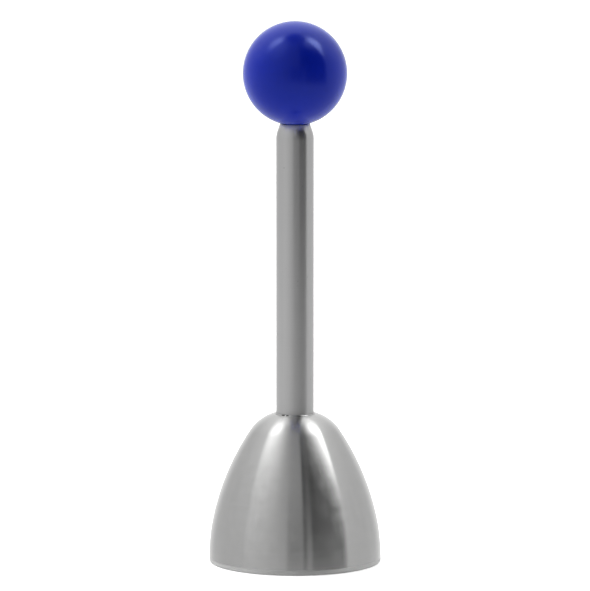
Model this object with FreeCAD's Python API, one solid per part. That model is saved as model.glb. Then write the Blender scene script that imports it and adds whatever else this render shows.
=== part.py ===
# Spring-loaded egg topper.
#
# A spun steel bell sits over the end of a boiled egg. A steel tube stands on the bell's crown, held
# by one screw from inside the bell. In the tube a striker hangs on a rod that runs up through a
# guide bush into a plastic ball. Lifting the ball squeezes a spring between the bush and the
# striker. When the ball is let go, the striker hits the anvil plug in the tube's foot, and the blow
# rings down through the bell into the shell along the bell's sharp rim.
#
# Frame: millimetres, +Z up the handle, origin at the centre of the circle that the rim stands on.
# Every piece is round about Z, apart from the spring, the roll pin and its hole, the screw's recess,
# the cut in the split washer and the flutes of the knob's insert.

import FreeCAD, Part
import math
import os

from FreeCAD import Vector

# ---------------------------------------------------------------- driving dimensions (mm)

# bell
BELL_WALL = 1.0
RIM_RADIUS = 20.65           # outside of the rim
RIM_LAND = 2.0               # height of the straight wall above the rim
RIM_OUTER_ROUND = 0.55
RIM_INNER_ROUND = 0.25       # small, because this edge does the cracking
FLANK_ARCS = [(42.0, 11.8), (61.0, 21.8), (10.5, 38.4)]  # radius, and degrees that it turns in

# handle tube
TUBE_RADIUS = 4.55
TUBE_WALL = 0.6
NOSE_RADIUS = 3.65           # outside of the rolled-in end
NOSE_HEIGHT = 2.65           # height of its taper
NOSE_BLEND = 5.75            # radius where the taper meets the tube
TUBE_LENGTH = 70.0
TUBE_FOOT_ROUND = 0.25

# fastening in the crown: M4 screw, split washer and plain washer
M4_RADIUS = 2.0
M4_CLEARANCE_RADIUS = 2.15
SCREW_HEAD_RADIUS = 4.0
SCREW_HEAD_HEIGHT = 2.6
SCREW_HEAD_SIDE = 0.35       # share of the head's height that is straight, below the dome
SCREW_DOME_POINT = (0.75, 0.25)  # a point of the dome, as shares of the head's radius and height
SCREW_LENGTH = 10.0
RECESS_WIDTH = 1.1
RECESS_SPAN = 4.6
RECESS_DEPTH = 1.6
RECESS_TAPER = 3.0           # how many times longer each slot is at its mouth than at its bottom
RECESS_RUNOUT = 0.5          # how far its cutter starts outside the head
PLAIN_WASHER_RADIUS = 4.0
PLAIN_WASHER_THICKNESS = 0.5
SPLIT_WASHER_RADIUS = 3.8
SPLIT_WASHER_BORE = 2.05
SPLIT_WASHER_THICKNESS = 0.9
SPLIT_WIDTH = 0.6
SPLIT_LEAN = 25.0            # degrees

# anvil plug
PLUG_HEIGHT = 10.0
PLUG_THREAD_DEPTH = 8.2
PLUG_GROOVE_WIDTH = 1.6
PLUG_GROOVE_DEPTH = 0.25
SMALL_CHAMFER = 0.4
DRILL_SLOPE = 31.0           # degrees, of the cone that a drill leaves

# guide bush
BUSH_HEIGHT = 7.2
BUSH_PROUD = 0.05            # how far its neck stands out of the tube
BUSH_CHAMFER = 0.2
BUSH_NECK_CHAMFER = 0.15
BUSH_GAP = 0.08              # between the bush and the tube around it
ROD_CLEARANCE = 0.05         # running fit of the rod in the bush

# plunger
ROD_RADIUS = 2.0
ROD_TAIL_RADIUS = 1.5
ROD_TAIL_LENGTH = 12.0
ROD_END_GAP = 0.5            # left above the rod in its insert
STRIKER_RADIUS = 3.7
STRIKER_CHAMFER = 0.6
PIN_RADIUS = 0.75
PIN_WALL = 0.25
PIN_LENGTH = 7.0
PIN_SLOT = 0.3

# spring and its two washers
TRAVEL = 25.0                # lift of the ball, from the striker's rest to a solid spring
WIRE_DIAMETER = 0.7
WIRE_FLATS = 8               # sides that the round wire is drawn with
COIL_RADIUS = 3.2            # to the middle of the wire
ACTIVE_COILS = 9
END_COIL_GAP = 0.02          # between a closed end coil and the coil beside it
SPRING_WASHER_RADIUS = 3.65
SPRING_WASHER_HOLE = 2.2
SPRING_WASHER_THICKNESS = 0.5

# ball and its insert
BALL_RADIUS = 12.5
BALL_FLAT_RADIUS = 3.65
BALL_FLAT_ROUND = 0.25
BALL_GAP = 0.15              # left above the tube, so that the striker lands before the ball does
BALL_MOUTH_RADIUS = 2.15
BALL_MOUTH_DEPTH = 1.2
INSERT_RADIUS = 2.95
INSERT_HEIGHT = 11.0
INSERT_CAP = 1.0             # closed end that keeps the plastic out of the thread
INSERT_GROOVE_RADIUS = 2.6
INSERT_GROOVE_FROM = 0.4     # shares of the insert's height
INSERT_GROOVE_TO = 0.6
INSERT_FLUTES = 16
INSERT_FLUTE_DEPTH = 0.2
INSERT_FLUTE_WIDTH = 0.8     # side of the square cutter, which goes in corner first

# ---------------------------------------------------------------- helpers

AXIS = Vector(0, 0, 1)
FULL_TURN = 360.0
FUZZ = 1e-3                  # how near a measured place has to be


def at(radius, height):
    """A point of a half section, which lies in the XZ plane."""
    return Vector(radius, 0, height)


def lines(points):
    """Straight edges from point to point."""
    return [Part.makeLine(a, b) for a, b in zip(points, points[1:])]


def arc_corner(before, corner, after, radius):
    """The two ends and the edge of a tangent arc that rounds one corner of a path."""
    back = (before - corner).normalize()
    ahead = (after - corner).normalize()
    half_angle = back.getAngle(ahead) / 2
    reach = radius / math.tan(half_angle)
    middle = (back + ahead).normalize()
    start = corner + back * reach
    end = corner + ahead * reach
    belly = corner + middle * (radius / math.sin(half_angle) - radius)
    return start, end, Part.Arc(start, belly, end).toShape()


def turned(edges):
    """The solid swept by a closed half section turned about Z."""
    outline = Part.Wire(Part.sortEdges(edges)[0])
    solid = Part.Face(outline).revolve(Vector(), AXIS, FULL_TURN)
    return solid if solid.Volume > 0 else solid.reversed()


def turned_outline(points):
    """A turned solid with straight edges only."""
    return turned(lines(points + points[:1]))


def ring(inner_radius, outer_radius, base, thickness):
    """A plain washer."""
    outer = Part.makeCylinder(outer_radius, thickness, at(0, base))
    inner = Part.makeCylinder(inner_radius, thickness, at(0, base))
    return outer.cut(inner)


def circle_edges(shape, radius, height):
    """The edges of a shape that lie on one circle about Z."""
    found = []
    for edge in shape.Edges:
        box = edge.BoundBox
        level = abs(box.ZMin - height) < FUZZ and abs(box.ZMax - height) < FUZZ
        if level and abs(box.XMax - radius) < FUZZ:
            found.append(edge)
    return found


def flank(start, inset):
    """Tangent arcs from the rim's wall up to the crown, and their end, inset from the outside."""
    edges = []
    point = start
    turned_by = 0.0
    for outer_radius, turn in FLANK_ARCS:
        radius = outer_radius - inset
        angles = [math.radians(turned_by + turn * share) for share in (0, 0.5, 1)]
        spokes = [at(math.cos(a), math.sin(a)) * radius for a in angles]
        centre = point - spokes[0]
        edges.append(Part.Arc(*[centre + spoke for spoke in spokes]).toShape())
        point = centre + spokes[2]
        turned_by += turn
    return edges, point


# ---------------------------------------------------------------- sizes that follow

RIM_BORE = RIM_RADIUS - BELL_WALL
OUTER_FLANK, CROWN_CORNER = flank(at(RIM_RADIUS, RIM_LAND), 0)
INNER_FLANK, CROWN_UNDER_CORNER = flank(at(RIM_BORE, RIM_LAND), BELL_WALL)
CROWN_FACE = CROWN_CORNER.z
CROWN_UNDERSIDE = CROWN_UNDER_CORNER.z

TUBE_BORE = TUBE_RADIUS - TUBE_WALL
TUBE_FOOT = CROWN_FACE
TUBE_TOP = TUBE_FOOT + TUBE_LENGTH
NOSE_SLOPE = math.atan2(TUBE_RADIUS - NOSE_RADIUS, NOSE_HEIGHT)
PLAIN_WASHER_BASE = CROWN_UNDERSIDE - PLAIN_WASHER_THICKNESS
SPLIT_WASHER_BASE = PLAIN_WASHER_BASE - SPLIT_WASHER_THICKNESS
ANVIL_FACE = TUBE_FOOT + PLUG_HEIGHT

BUSH_TOP = TUBE_TOP + BUSH_PROUD
BUSH_BASE = BUSH_TOP - BUSH_HEIGHT

DEAD_PITCH = WIRE_DIAMETER + END_COIL_GAP
SOLID_LENGTH = (ACTIVE_COILS + 2) * WIRE_DIAMETER
SPRING_LENGTH = SOLID_LENGTH + TRAVEL
UPPER_WASHER_BASE = BUSH_BASE - SPRING_WASHER_THICKNESS
SPRING_BASE = UPPER_WASHER_BASE - SPRING_LENGTH
STRIKER_TOP = SPRING_BASE - SPRING_WASHER_THICKNESS
PIN_HEIGHT = STRIKER_TOP - ROD_TAIL_LENGTH / 2

BALL_FLAT = TUBE_TOP + BALL_GAP
BALL_CENTRE = BALL_FLAT + math.sqrt(BALL_RADIUS**2 - BALL_FLAT_RADIUS**2)
INSERT_BASE = BALL_FLAT + BALL_MOUTH_DEPTH
ROD_TOP = INSERT_BASE + INSERT_HEIGHT - INSERT_CAP - ROD_END_GAP


# ---------------------------------------------------------------- bell and its fastening


def edge_round(start, end, corner):
    """A quarter round in place of a square corner."""
    middle = corner + ((start - corner) + (end - corner)) * (1 - math.sqrt(0.5))
    return Part.Arc(start, middle, end).toShape()


def bell():
    """Spun cup: rim, straight land, curved flank and flat crown, with one wall thickness."""
    rim_outer = at(RIM_RADIUS, RIM_OUTER_ROUND)
    rim_inner = at(RIM_BORE, RIM_INNER_ROUND)
    foot_outer = at(RIM_RADIUS - RIM_OUTER_ROUND, 0)
    foot_inner = at(RIM_BORE + RIM_INNER_ROUND, 0)
    return turned(
        [edge_round(foot_outer, rim_outer, at(RIM_RADIUS, 0))]
        + lines([rim_outer, at(RIM_RADIUS, RIM_LAND)])
        + OUTER_FLANK
        + lines(
            [
                CROWN_CORNER,
                at(M4_CLEARANCE_RADIUS, CROWN_FACE),
                at(M4_CLEARANCE_RADIUS, CROWN_UNDERSIDE),
                CROWN_UNDER_CORNER,
            ]
        )
        + INNER_FLANK
        + lines([at(RIM_BORE, RIM_LAND), rim_inner])
        + [edge_round(rim_inner, foot_inner, at(RIM_BORE, 0))]
        + lines([foot_inner, foot_outer])
    )


def plain_washer():
    """Spreads the screw's pull over the underside of the crown."""
    return ring(M4_CLEARANCE_RADIUS, PLAIN_WASHER_RADIUS, PLAIN_WASHER_BASE, PLAIN_WASHER_THICKNESS)


def split_washer():
    """Spring washer, drawn flat as when the screw is tight, with its slanting cut."""
    washer = ring(
        SPLIT_WASHER_BORE, SPLIT_WASHER_RADIUS, SPLIT_WASHER_BASE, SPLIT_WASHER_THICKNESS
    )
    cut = Part.makeBox(
        SPLIT_WIDTH,
        2 * SPLIT_WASHER_RADIUS,
        3 * SPLIT_WASHER_THICKNESS,
        Vector(-SPLIT_WIDTH / 2, 0, -1.5 * SPLIT_WASHER_THICKNESS),
    )
    cut.rotate(Vector(), Vector(0, 1, 0), SPLIT_LEAN)
    cut.translate(at(0, SPLIT_WASHER_BASE + SPLIT_WASHER_THICKNESS / 2))
    return washer.cut(cut)


def cross_recess(face_height):
    """The cutter for a screw's cross recess: two slots that narrow as they go up into the head."""
    mouth = face_height - RECESS_RUNOUT

    def rectangle(length, width, height):
        x, y = length / 2, width / 2
        corners = [(-x, -y), (x, -y), (x, y), (-x, y), (-x, -y)]
        return Part.makePolygon([Vector(cx, cy, height) for cx, cy in corners])

    slot = Part.makeLoft(
        [
            rectangle(RECESS_SPAN, RECESS_WIDTH, mouth),
            rectangle(RECESS_SPAN / RECESS_TAPER, RECESS_WIDTH, face_height + RECESS_DEPTH),
        ],
        True,
        True,
    )
    other = slot.copy()
    other.rotate(Vector(), AXIS, 90)
    return slot.fuse(other)


def bell_screw():
    """M4 pan-head screw, head down inside the bell, its shank up through the crown into the plug."""
    seat = SPLIT_WASHER_BASE
    face = seat - SCREW_HEAD_HEIGHT
    shoulder = seat - SCREW_HEAD_HEIGHT * SCREW_HEAD_SIDE
    tip = seat + SCREW_LENGTH
    out, up = SCREW_DOME_POINT
    dome_point = at(SCREW_HEAD_RADIUS * out, face + SCREW_HEAD_HEIGHT * up)
    dome = Part.Arc(at(SCREW_HEAD_RADIUS, shoulder), dome_point, at(0, face)).toShape()
    body = turned(
        [dome]
        + lines(
            [
                at(0, face),
                at(0, tip),
                at(M4_RADIUS - SMALL_CHAMFER, tip),
                at(M4_RADIUS, tip - SMALL_CHAMFER),
                at(M4_RADIUS, seat),
                at(SCREW_HEAD_RADIUS, seat),
                at(SCREW_HEAD_RADIUS, shoulder),
            ]
        )
    )
    return body.cut(cross_recess(face))


# ---------------------------------------------------------------- tube, plug and bush


def side_of_tube(radius, tip, blend):
    """Edges from the tube's foot to its tip, round the bend and up the taper."""
    foot = at(radius, TUBE_FOOT)
    corner = at(radius, tip.z - (radius - tip.x) / math.tan(NOSE_SLOPE))
    start, end, bend = arc_corner(foot, corner, tip, blend)
    return lines([foot, start]) + [bend] + lines([end, tip])


def handle_tube():
    """Drawn tube whose top end is rolled in to a taper that holds the guide bush."""
    tip = at(NOSE_RADIUS, TUBE_TOP)
    inner_tip = tip - at(math.cos(NOSE_SLOPE), math.sin(NOSE_SLOPE)) * TUBE_WALL
    tube = turned(
        side_of_tube(TUBE_RADIUS, tip, NOSE_BLEND)
        + side_of_tube(TUBE_BORE, inner_tip, NOSE_BLEND - TUBE_WALL)
        + lines([tip, inner_tip])
        + lines([at(TUBE_RADIUS, TUBE_FOOT), at(TUBE_BORE, TUBE_FOOT)])
    )
    return tube.makeFillet(TUBE_FOOT_ROUND, circle_edges(tube, TUBE_RADIUS, TUBE_FOOT))


def anvil_plug():
    """Steel plug pressed into the tube's foot: tapped for the screw, struck on its top face."""
    edge = TUBE_BORE - SMALL_CHAMFER
    waist = TUBE_BORE - PLUG_GROOVE_DEPTH
    groove_base = TUBE_FOOT + (PLUG_HEIGHT - PLUG_GROOVE_WIDTH) / 2
    groove_top = groove_base + PLUG_GROOVE_WIDTH
    thread_end = TUBE_FOOT + PLUG_THREAD_DEPTH
    drill_tip = thread_end + M4_RADIUS * math.tan(math.radians(DRILL_SLOPE))
    return turned_outline(
        [
            at(M4_RADIUS, TUBE_FOOT),
            at(edge, TUBE_FOOT),
            at(TUBE_BORE, TUBE_FOOT + SMALL_CHAMFER),
            at(TUBE_BORE, groove_base),
            at(waist, groove_base + PLUG_GROOVE_DEPTH),
            at(waist, groove_top - PLUG_GROOVE_DEPTH),
            at(TUBE_BORE, groove_top),
            at(TUBE_BORE, ANVIL_FACE - SMALL_CHAMFER),
            at(edge, ANVIL_FACE),
            at(0, ANVIL_FACE),
            at(0, drill_tip),
            at(M4_RADIUS, thread_end),
        ]
    )


def guide_bush():
    """Plastic bush under the rolled-in end. It guides the rod and takes the spring's push."""
    body_radius = TUBE_BORE - BUSH_GAP
    neck_radius = NOSE_RADIUS - TUBE_WALL - BUSH_GAP
    rod_bore = ROD_RADIUS + ROD_CLEARANCE
    taper_rise = NOSE_HEIGHT * (body_radius - neck_radius) / (TUBE_RADIUS - NOSE_RADIUS)
    neck_base = TUBE_TOP - TUBE_WALL
    return turned_outline(
        [
            at(rod_bore + BUSH_CHAMFER, BUSH_BASE),
            at(body_radius - BUSH_CHAMFER, BUSH_BASE),
            at(body_radius, BUSH_BASE + BUSH_CHAMFER),
            at(body_radius, neck_base - taper_rise),
            at(neck_radius, neck_base),
            at(neck_radius, BUSH_TOP - BUSH_NECK_CHAMFER),
            at(neck_radius - BUSH_NECK_CHAMFER, BUSH_TOP),
            at(rod_bore + BUSH_CHAMFER, BUSH_TOP),
            at(rod_bore, BUSH_TOP - BUSH_CHAMFER),
            at(rod_bore, BUSH_BASE + BUSH_CHAMFER),
        ]
    )


# ---------------------------------------------------------------- spring


def helix(turns, pitch, base):
    """One stretch of the spring's centre line, starting over the X axis."""
    wire = Part.makeHelix(pitch, pitch * turns, COIL_RADIUS)
    wire.translate(at(0, base))
    return wire.Edges


def wire_section():
    """The wire's cross-section at the foot of the coil, a polygon of the round wire's area."""
    heading = Vector(0, 2 * math.pi * COIL_RADIUS, DEAD_PITCH).normalize()
    outwards = Vector(1, 0, 0)
    across = heading.cross(outwards)
    step = 2 * math.pi / WIRE_FLATS
    corner_radius = WIRE_DIAMETER / 2 * math.sqrt(step / math.sin(step))
    corners = []
    for i in range(WIRE_FLATS):
        angle = (i + 0.5) * step
        spoke = outwards * math.cos(angle) + across * math.sin(angle)
        corners.append(at(COIL_RADIUS, SPRING_BASE) + spoke * corner_radius)
    return Part.makePolygon(corners + corners[:1])


def striker_spring():
    """Compression spring with a closed coil at each end, ground flat. Its rest length is drawn."""
    active_height = SPRING_LENGTH - 2 * DEAD_PITCH
    path = Part.Wire(
        helix(1, DEAD_PITCH, SPRING_BASE)
        + helix(ACTIVE_COILS, active_height / ACTIVE_COILS, SPRING_BASE + DEAD_PITCH)
        + helix(1, DEAD_PITCH, SPRING_BASE + SPRING_LENGTH - DEAD_PITCH)
    )
    coil = path.makePipeShell([wire_section()], True, True)
    ground = Part.makeCylinder(COIL_RADIUS + WIRE_DIAMETER, SPRING_LENGTH, at(0, SPRING_BASE))
    return coil.common(ground)


def spring_washer(base):
    """Steel washer at one end of the spring."""
    return ring(SPRING_WASHER_HOLE, SPRING_WASHER_RADIUS, base, SPRING_WASHER_THICKNESS)


# ---------------------------------------------------------------- plunger


def pin_bore():
    """The cross hole that the roll pin is driven through."""
    length = 3 * STRIKER_RADIUS
    start = Vector(-length / 2, 0, PIN_HEIGHT)
    return Part.makeCylinder(PIN_RADIUS, length, start, Vector(1, 0, 0))


def striker():
    """Steel hammer, bored from above for the rod's tail and cross-drilled for the pin."""
    edge = STRIKER_RADIUS - STRIKER_CHAMFER
    tail_end = STRIKER_TOP - ROD_TAIL_LENGTH
    drill_tip = tail_end - ROD_TAIL_RADIUS * math.tan(math.radians(DRILL_SLOPE))
    body = turned_outline(
        [
            at(0, ANVIL_FACE),
            at(edge, ANVIL_FACE),
            at(STRIKER_RADIUS, ANVIL_FACE + STRIKER_CHAMFER),
            at(STRIKER_RADIUS, STRIKER_TOP - STRIKER_CHAMFER / 2),
            at(STRIKER_RADIUS - STRIKER_CHAMFER / 2, STRIKER_TOP),
            at(ROD_TAIL_RADIUS, STRIKER_TOP),
            at(ROD_TAIL_RADIUS, tail_end),
            at(0, drill_tip),
        ]
    )
    return body.cut(pin_bore())


def plunger_rod():
    """Steel rod: tail in the striker, shoulder on its top, plain shank, M4 end in the ball."""
    tail_end = STRIKER_TOP - ROD_TAIL_LENGTH
    body = turned_outline(
        [
            at(0, tail_end),
            at(ROD_TAIL_RADIUS - SMALL_CHAMFER, tail_end),
            at(ROD_TAIL_RADIUS, tail_end + SMALL_CHAMFER),
            at(ROD_TAIL_RADIUS, STRIKER_TOP),
            at(ROD_RADIUS, STRIKER_TOP),
            at(ROD_RADIUS, ROD_TOP - SMALL_CHAMFER),
            at(ROD_RADIUS - SMALL_CHAMFER, ROD_TOP),
            at(0, ROD_TOP),
        ]
    )
    return body.cut(pin_bore())


def roll_pin():
    """Slotted spring pin that ties the striker to the rod."""
    along = Vector(1, 0, 0)
    start = Vector(-PIN_LENGTH / 2, 0, PIN_HEIGHT)
    tube = Part.makeCylinder(PIN_RADIUS, PIN_LENGTH, start, along)
    bore = Part.makeCylinder(PIN_RADIUS - PIN_WALL, PIN_LENGTH, start, along)
    slot = Part.makeBox(
        PIN_LENGTH, PIN_SLOT, PIN_RADIUS, Vector(-PIN_LENGTH / 2, -PIN_SLOT / 2, PIN_HEIGHT)
    )
    return tube.cut(bore).cut(slot)


def insert_envelope():
    """Outside of the brass insert: fluted, with a groove round its middle that the plastic grips."""
    base, top = INSERT_BASE, INSERT_BASE + INSERT_HEIGHT
    groove_base = base + INSERT_HEIGHT * INSERT_GROOVE_FROM
    groove_top = base + INSERT_HEIGHT * INSERT_GROOVE_TO
    slope = INSERT_RADIUS - INSERT_GROOVE_RADIUS
    body = turned_outline(
        [
            at(0, base),
            at(INSERT_RADIUS, base),
            at(INSERT_RADIUS, groove_base),
            at(INSERT_GROOVE_RADIUS, groove_base + slope),
            at(INSERT_GROOVE_RADIUS, groove_top - slope),
            at(INSERT_RADIUS, groove_top),
            at(INSERT_RADIUS, top - SMALL_CHAMFER),
            at(INSERT_RADIUS - SMALL_CHAMFER, top),
            at(0, top),
        ]
    )
    flute = Part.makeBox(INSERT_FLUTE_WIDTH, INSERT_FLUTE_WIDTH, INSERT_HEIGHT)
    flute.rotate(Vector(), AXIS, -FULL_TURN / 8)
    flute.translate(at(INSERT_RADIUS - INSERT_FLUTE_DEPTH, base))
    flutes = []
    for i in range(INSERT_FLUTES):
        copy = flute.copy()
        copy.rotate(Vector(), AXIS, i * FULL_TURN / INSERT_FLUTES)
        flutes.append(copy)
    return body.cut(Part.makeCompound(flutes))


def knob_insert():
    """Brass thread insert, open below and closed above."""
    bore = Part.makeCylinder(M4_RADIUS, INSERT_HEIGHT - INSERT_CAP, at(0, INSERT_BASE))
    return insert_envelope().cut(bore)


def ball_knob():
    """Solid moulded ball with a small flat below, round the mouth that the rod goes in by."""
    full_ball = Part.makeSphere(BALL_RADIUS, at(0, BALL_CENTRE))
    below = Part.makeCylinder(BALL_RADIUS, BALL_RADIUS, at(0, BALL_FLAT - BALL_RADIUS))
    ball = full_ball.cut(below)
    ball = ball.makeFillet(BALL_FLAT_ROUND, circle_edges(ball, BALL_FLAT_RADIUS, BALL_FLAT))
    mouth = Part.makeCylinder(BALL_MOUTH_RADIUS, BALL_MOUTH_DEPTH, at(0, BALL_FLAT))
    return ball.cut(mouth).cut(insert_envelope())


# ---------------------------------------------------------------- export

PIECES = {
    "bell": bell,
    "plain_washer": plain_washer,
    "split_washer": split_washer,
    "bell_screw": bell_screw,
    "handle_tube": handle_tube,
    "anvil_plug": anvil_plug,
    "guide_bush": guide_bush,
    "upper_spring_washer": lambda: spring_washer(UPPER_WASHER_BASE),
    "striker_spring": striker_spring,
    "lower_spring_washer": lambda: spring_washer(STRIKER_TOP),
    "striker": striker,
    "roll_pin": roll_pin,
    "plunger_rod": plunger_rod,
    "knob_insert": knob_insert,
    "ball_knob": ball_knob,
}


def main():
    os.makedirs("parts", exist_ok=True)
    for name, make in PIECES.items():
        shape = make()
        if not shape.isValid() or shape.Volume <= 0:
            raise ValueError(f"{name} is not a sound solid")
        shape.exportStep(f"parts/{name}.step")
        print(f"{name:20s} {len(shape.Solids)} solid {shape.Volume:9.2f} mm3")


main()
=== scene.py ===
import math

import bmesh
import bpy
from bpy.props import FloatProperty, FloatVectorProperty, IntProperty, PointerProperty
from mathutils import Matrix, Vector


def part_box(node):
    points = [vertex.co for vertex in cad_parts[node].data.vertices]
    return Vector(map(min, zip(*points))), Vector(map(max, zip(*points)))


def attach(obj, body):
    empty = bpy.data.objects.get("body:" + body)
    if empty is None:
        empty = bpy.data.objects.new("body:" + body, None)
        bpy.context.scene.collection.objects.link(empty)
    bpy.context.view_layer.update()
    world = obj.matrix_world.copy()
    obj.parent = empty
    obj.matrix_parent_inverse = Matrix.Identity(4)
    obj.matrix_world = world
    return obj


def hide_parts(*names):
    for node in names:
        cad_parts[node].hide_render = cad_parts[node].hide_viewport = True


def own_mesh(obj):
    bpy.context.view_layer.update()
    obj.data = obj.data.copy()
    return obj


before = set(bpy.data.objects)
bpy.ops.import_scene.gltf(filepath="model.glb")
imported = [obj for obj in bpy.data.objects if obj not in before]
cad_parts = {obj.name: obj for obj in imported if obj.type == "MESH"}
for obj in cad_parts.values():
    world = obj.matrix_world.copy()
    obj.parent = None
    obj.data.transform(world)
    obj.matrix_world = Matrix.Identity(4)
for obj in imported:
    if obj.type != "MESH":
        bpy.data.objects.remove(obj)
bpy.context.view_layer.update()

bl_info = {
    "name": "Egg topper",
    "version": (1, 0, 0),
    "blender": (4, 5, 0),
    "location": "3D View > Sidebar > Egg topper",
    "description": "A spring-loaded egg topper: steel bell, steel tube and a blue ball knob",
    "category": "Object",
}

# ---------------------------------------------------------------- what the frame gives

_, BELL_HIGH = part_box("bell")
TUBE_LOW, TUBE_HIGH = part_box("handle_tube")
BUSH_LOW, BUSH_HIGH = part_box("guide_bush")
BALL_LOW, BALL_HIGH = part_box("ball_knob")
ROD_LOW, ROD_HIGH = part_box("plunger_rod")
_, STRIKER_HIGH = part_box("striker")
INSERT_LOW, INSERT_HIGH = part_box("knob_insert")
SPRING_LOW, SPRING_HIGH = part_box("striker_spring")

AXIS = Vector((0.0, 0.0, 1.0))
SECTION_NORMAL = Vector((0.0, 1.0, 0.0))         # half sections are drawn in the XZ plane
ORIGIN = Vector((0.0, 0.0, 0.0))
FULL_TURN = 2 * math.pi
HALF_TURN = math.pi
QUARTER_TURN = math.pi / 2
DEGREES = 180.0 / math.pi
NEAR = 1e-6                  # metres within which two places are one
SHARP = math.radians(30)     # edges that turn by more are drawn sharp


# ---------------------------------------------------------------- how finely the shapes are cut

# Steps round the axis.
BELL_AROUND = 288
BALL_AROUND = 216
TUBE_AROUND = 144
SMALL_AROUND = 96            # the rod, the bush and the floor

# Steps along the arcs of the half sections.
FLANK_STEPS = (14, 40, 22)   # the flank's three arcs, from the rim up
INNER_FLANK_STEPS = (8, 26, 12)
RIM_STEPS = 6                # the rim's outer round
LIP_STEPS = 5                # its cracking edge
BEAD_STEPS = 8
FOOT_STEPS = 6               # the tube's edge on the bell
NOSE_STEPS = 10              # where the tube's taper starts
INNER_NOSE_STEPS = 8
FLAT_STEPS = 5               # round the flat below the ball
BALL_STEPS = 120             # from there to the ball's top

# Steps round one coil of the spring, and flats round its wire.
COIL_STEPS, WIRE_SIDES = 40, 12
CLOSED_PITCH = 1.03          # rise of a closed coil, in thicknesses of the wire

# Broken edges: their widths in metres, and the steps across each.
NOSE_EDGE = 0.00006          # the tube's rolled-in end
MOUTH_EDGE = 0.00012         # where the rod enters the ball
BREAK_STEPS = 2


# ---------------------------------------------------------------- sizes and colours


def length(name, description, default):
    """A size in metres that the sidebar shows in the scene's units."""
    return FloatProperty(
        name=name, description=description, default=default, min=0.0, precision=5,
        subtype="DISTANCE", unit="LENGTH",
    )


def turn(name, description, degrees):
    """An angle, kept in radians and shown in degrees."""
    return FloatProperty(
        name=name, description=description, default=math.radians(degrees),
        subtype="ANGLE", unit="ROTATION",
    )


def colour(name, description, default):
    """A linear colour."""
    return FloatVectorProperty(
        name=name, description=description, default=default, size=3, min=0.0, max=1.0,
        subtype="COLOR",
    )


def share(name, description, default):
    """A value from 0 to 1."""
    return FloatProperty(
        name=name, description=description, default=default, min=0.0, max=1.0, subtype="FACTOR"
    )


class BellSizes(bpy.types.PropertyGroup):
    """The spun bell."""

    rim_radius: length("Rim radius", "Outside of the rim", BELL_HIGH.x)
    crown: length("Crown", "Height of the crown's face", BELL_HIGH.z)
    wall: length("Wall", "Thickness of the sheet", 0.0010)
    land: length("Land", "Height of the straight wall above the rim", 0.0020)
    outer_round: length("Outer round", "Radius of the rim's outer edge", 0.00055)
    inner_round: length("Inner round", "Radius of the rim's cracking edge", 0.00025)
    screw_hole: length("Screw hole", "Radius of the hole in the crown", 0.00215)
    bead: length("Bead", "Radius of the fine bead round the tube's foot", 0.00020)
    flank_radii: FloatVectorProperty(
        name="Flank radii", description="Radii of the flank's three arcs, from the rim up",
        default=(0.0420, 0.0610, 0.0105), size=3, precision=5, unit="LENGTH",
    )
    flank_turns: FloatVectorProperty(
        name="Flank turns", description="How far each of the three arcs turns inwards",
        default=[math.radians(t) for t in (11.8, 21.8, 38.4)], size=3, unit="ROTATION",
    )


class TubeSizes(bpy.types.PropertyGroup):
    """The handle tube and the bush in its upper end."""

    radius: length("Radius", "Outside of the tube", TUBE_HIGH.x)
    wall: length("Wall", "Thickness of the tube", 0.0006)
    nose_radius: length("Nose radius", "Outside of the rolled-in end", 0.00365)
    nose_height: length("Nose height", "Height of the rolled-in taper", 0.00265)
    nose_blend: length("Nose blend", "Radius where the taper starts", 0.00575)
    foot_round: length("Foot round", "Radius of the edge on the bell", 0.00025)
    bush_gap: length("Bush gap", "Play between the bush and the tube", 0.00008)
    bush_chamfer: length("Bush chamfer", "Chamfer of the bush's edges", 0.0002)


class PlungerSizes(bpy.types.PropertyGroup):
    """The rod, the spring and the ball."""

    rod_radius: length("Rod radius", "The rod's shank", ROD_HIGH.x)
    rod_clearance: length("Rod clearance", "Running fit of the rod in the bush", 0.00005)
    tail_radius: length("Tail radius", "The rod's end in the striker", 0.0015)
    chamfer: length("Chamfer", "Chamfer of the rod's ends", 0.0004)
    wire: length("Wire", "Thickness of the spring's wire", 0.0007)
    coil_radius: length("Coil radius", "Spring's axis to the middle of its wire", 0.0032)
    active_coils: IntProperty(
        name="Active coils", description="Coils that open and close", default=9, min=1
    )
    ball_radius: length("Ball radius", "The knob", BALL_HIGH.x)
    flat_round: length("Flat round", "Radius round the flat below the ball", 0.00025)
    mouth_radius: length("Mouth radius", "Hole that the rod goes in by", 0.00215)


class Finishes(bpy.types.PropertyGroup):
    """Colours of the materials."""

    bell: colour("Bell", "Brushed steel of the bell", (0.62, 0.62, 0.615))
    tube: colour("Tube", "Brushed steel of the tube", (0.63, 0.63, 0.63))
    ball: colour("Ball", "Blue plastic of the knob", (0.0005, 0.0066, 0.210))
    rod: colour("Rod", "Ground steel of the rod", (0.66, 0.66, 0.67))
    turned: colour("Turned parts", "Steel of the plug and the striker", (0.50, 0.50, 0.50))
    wire: colour("Wire", "Spring steel", (0.45, 0.45, 0.46))
    zinc: colour("Zinc", "Plated screw and washers", (0.58, 0.59, 0.61))
    brass: colour("Brass", "Thread insert in the ball", (0.78, 0.60, 0.28))
    bush: colour("Bush", "Acetal of the guide bush", (0.08, 0.08, 0.09))
    bell_smear: share("Bell smear", "How much the bell's brushing smears along the axis", 1.0)
    tube_smear: share("Tube smear", "How much the tube's brushing smears along the axis", 0.60)


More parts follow.
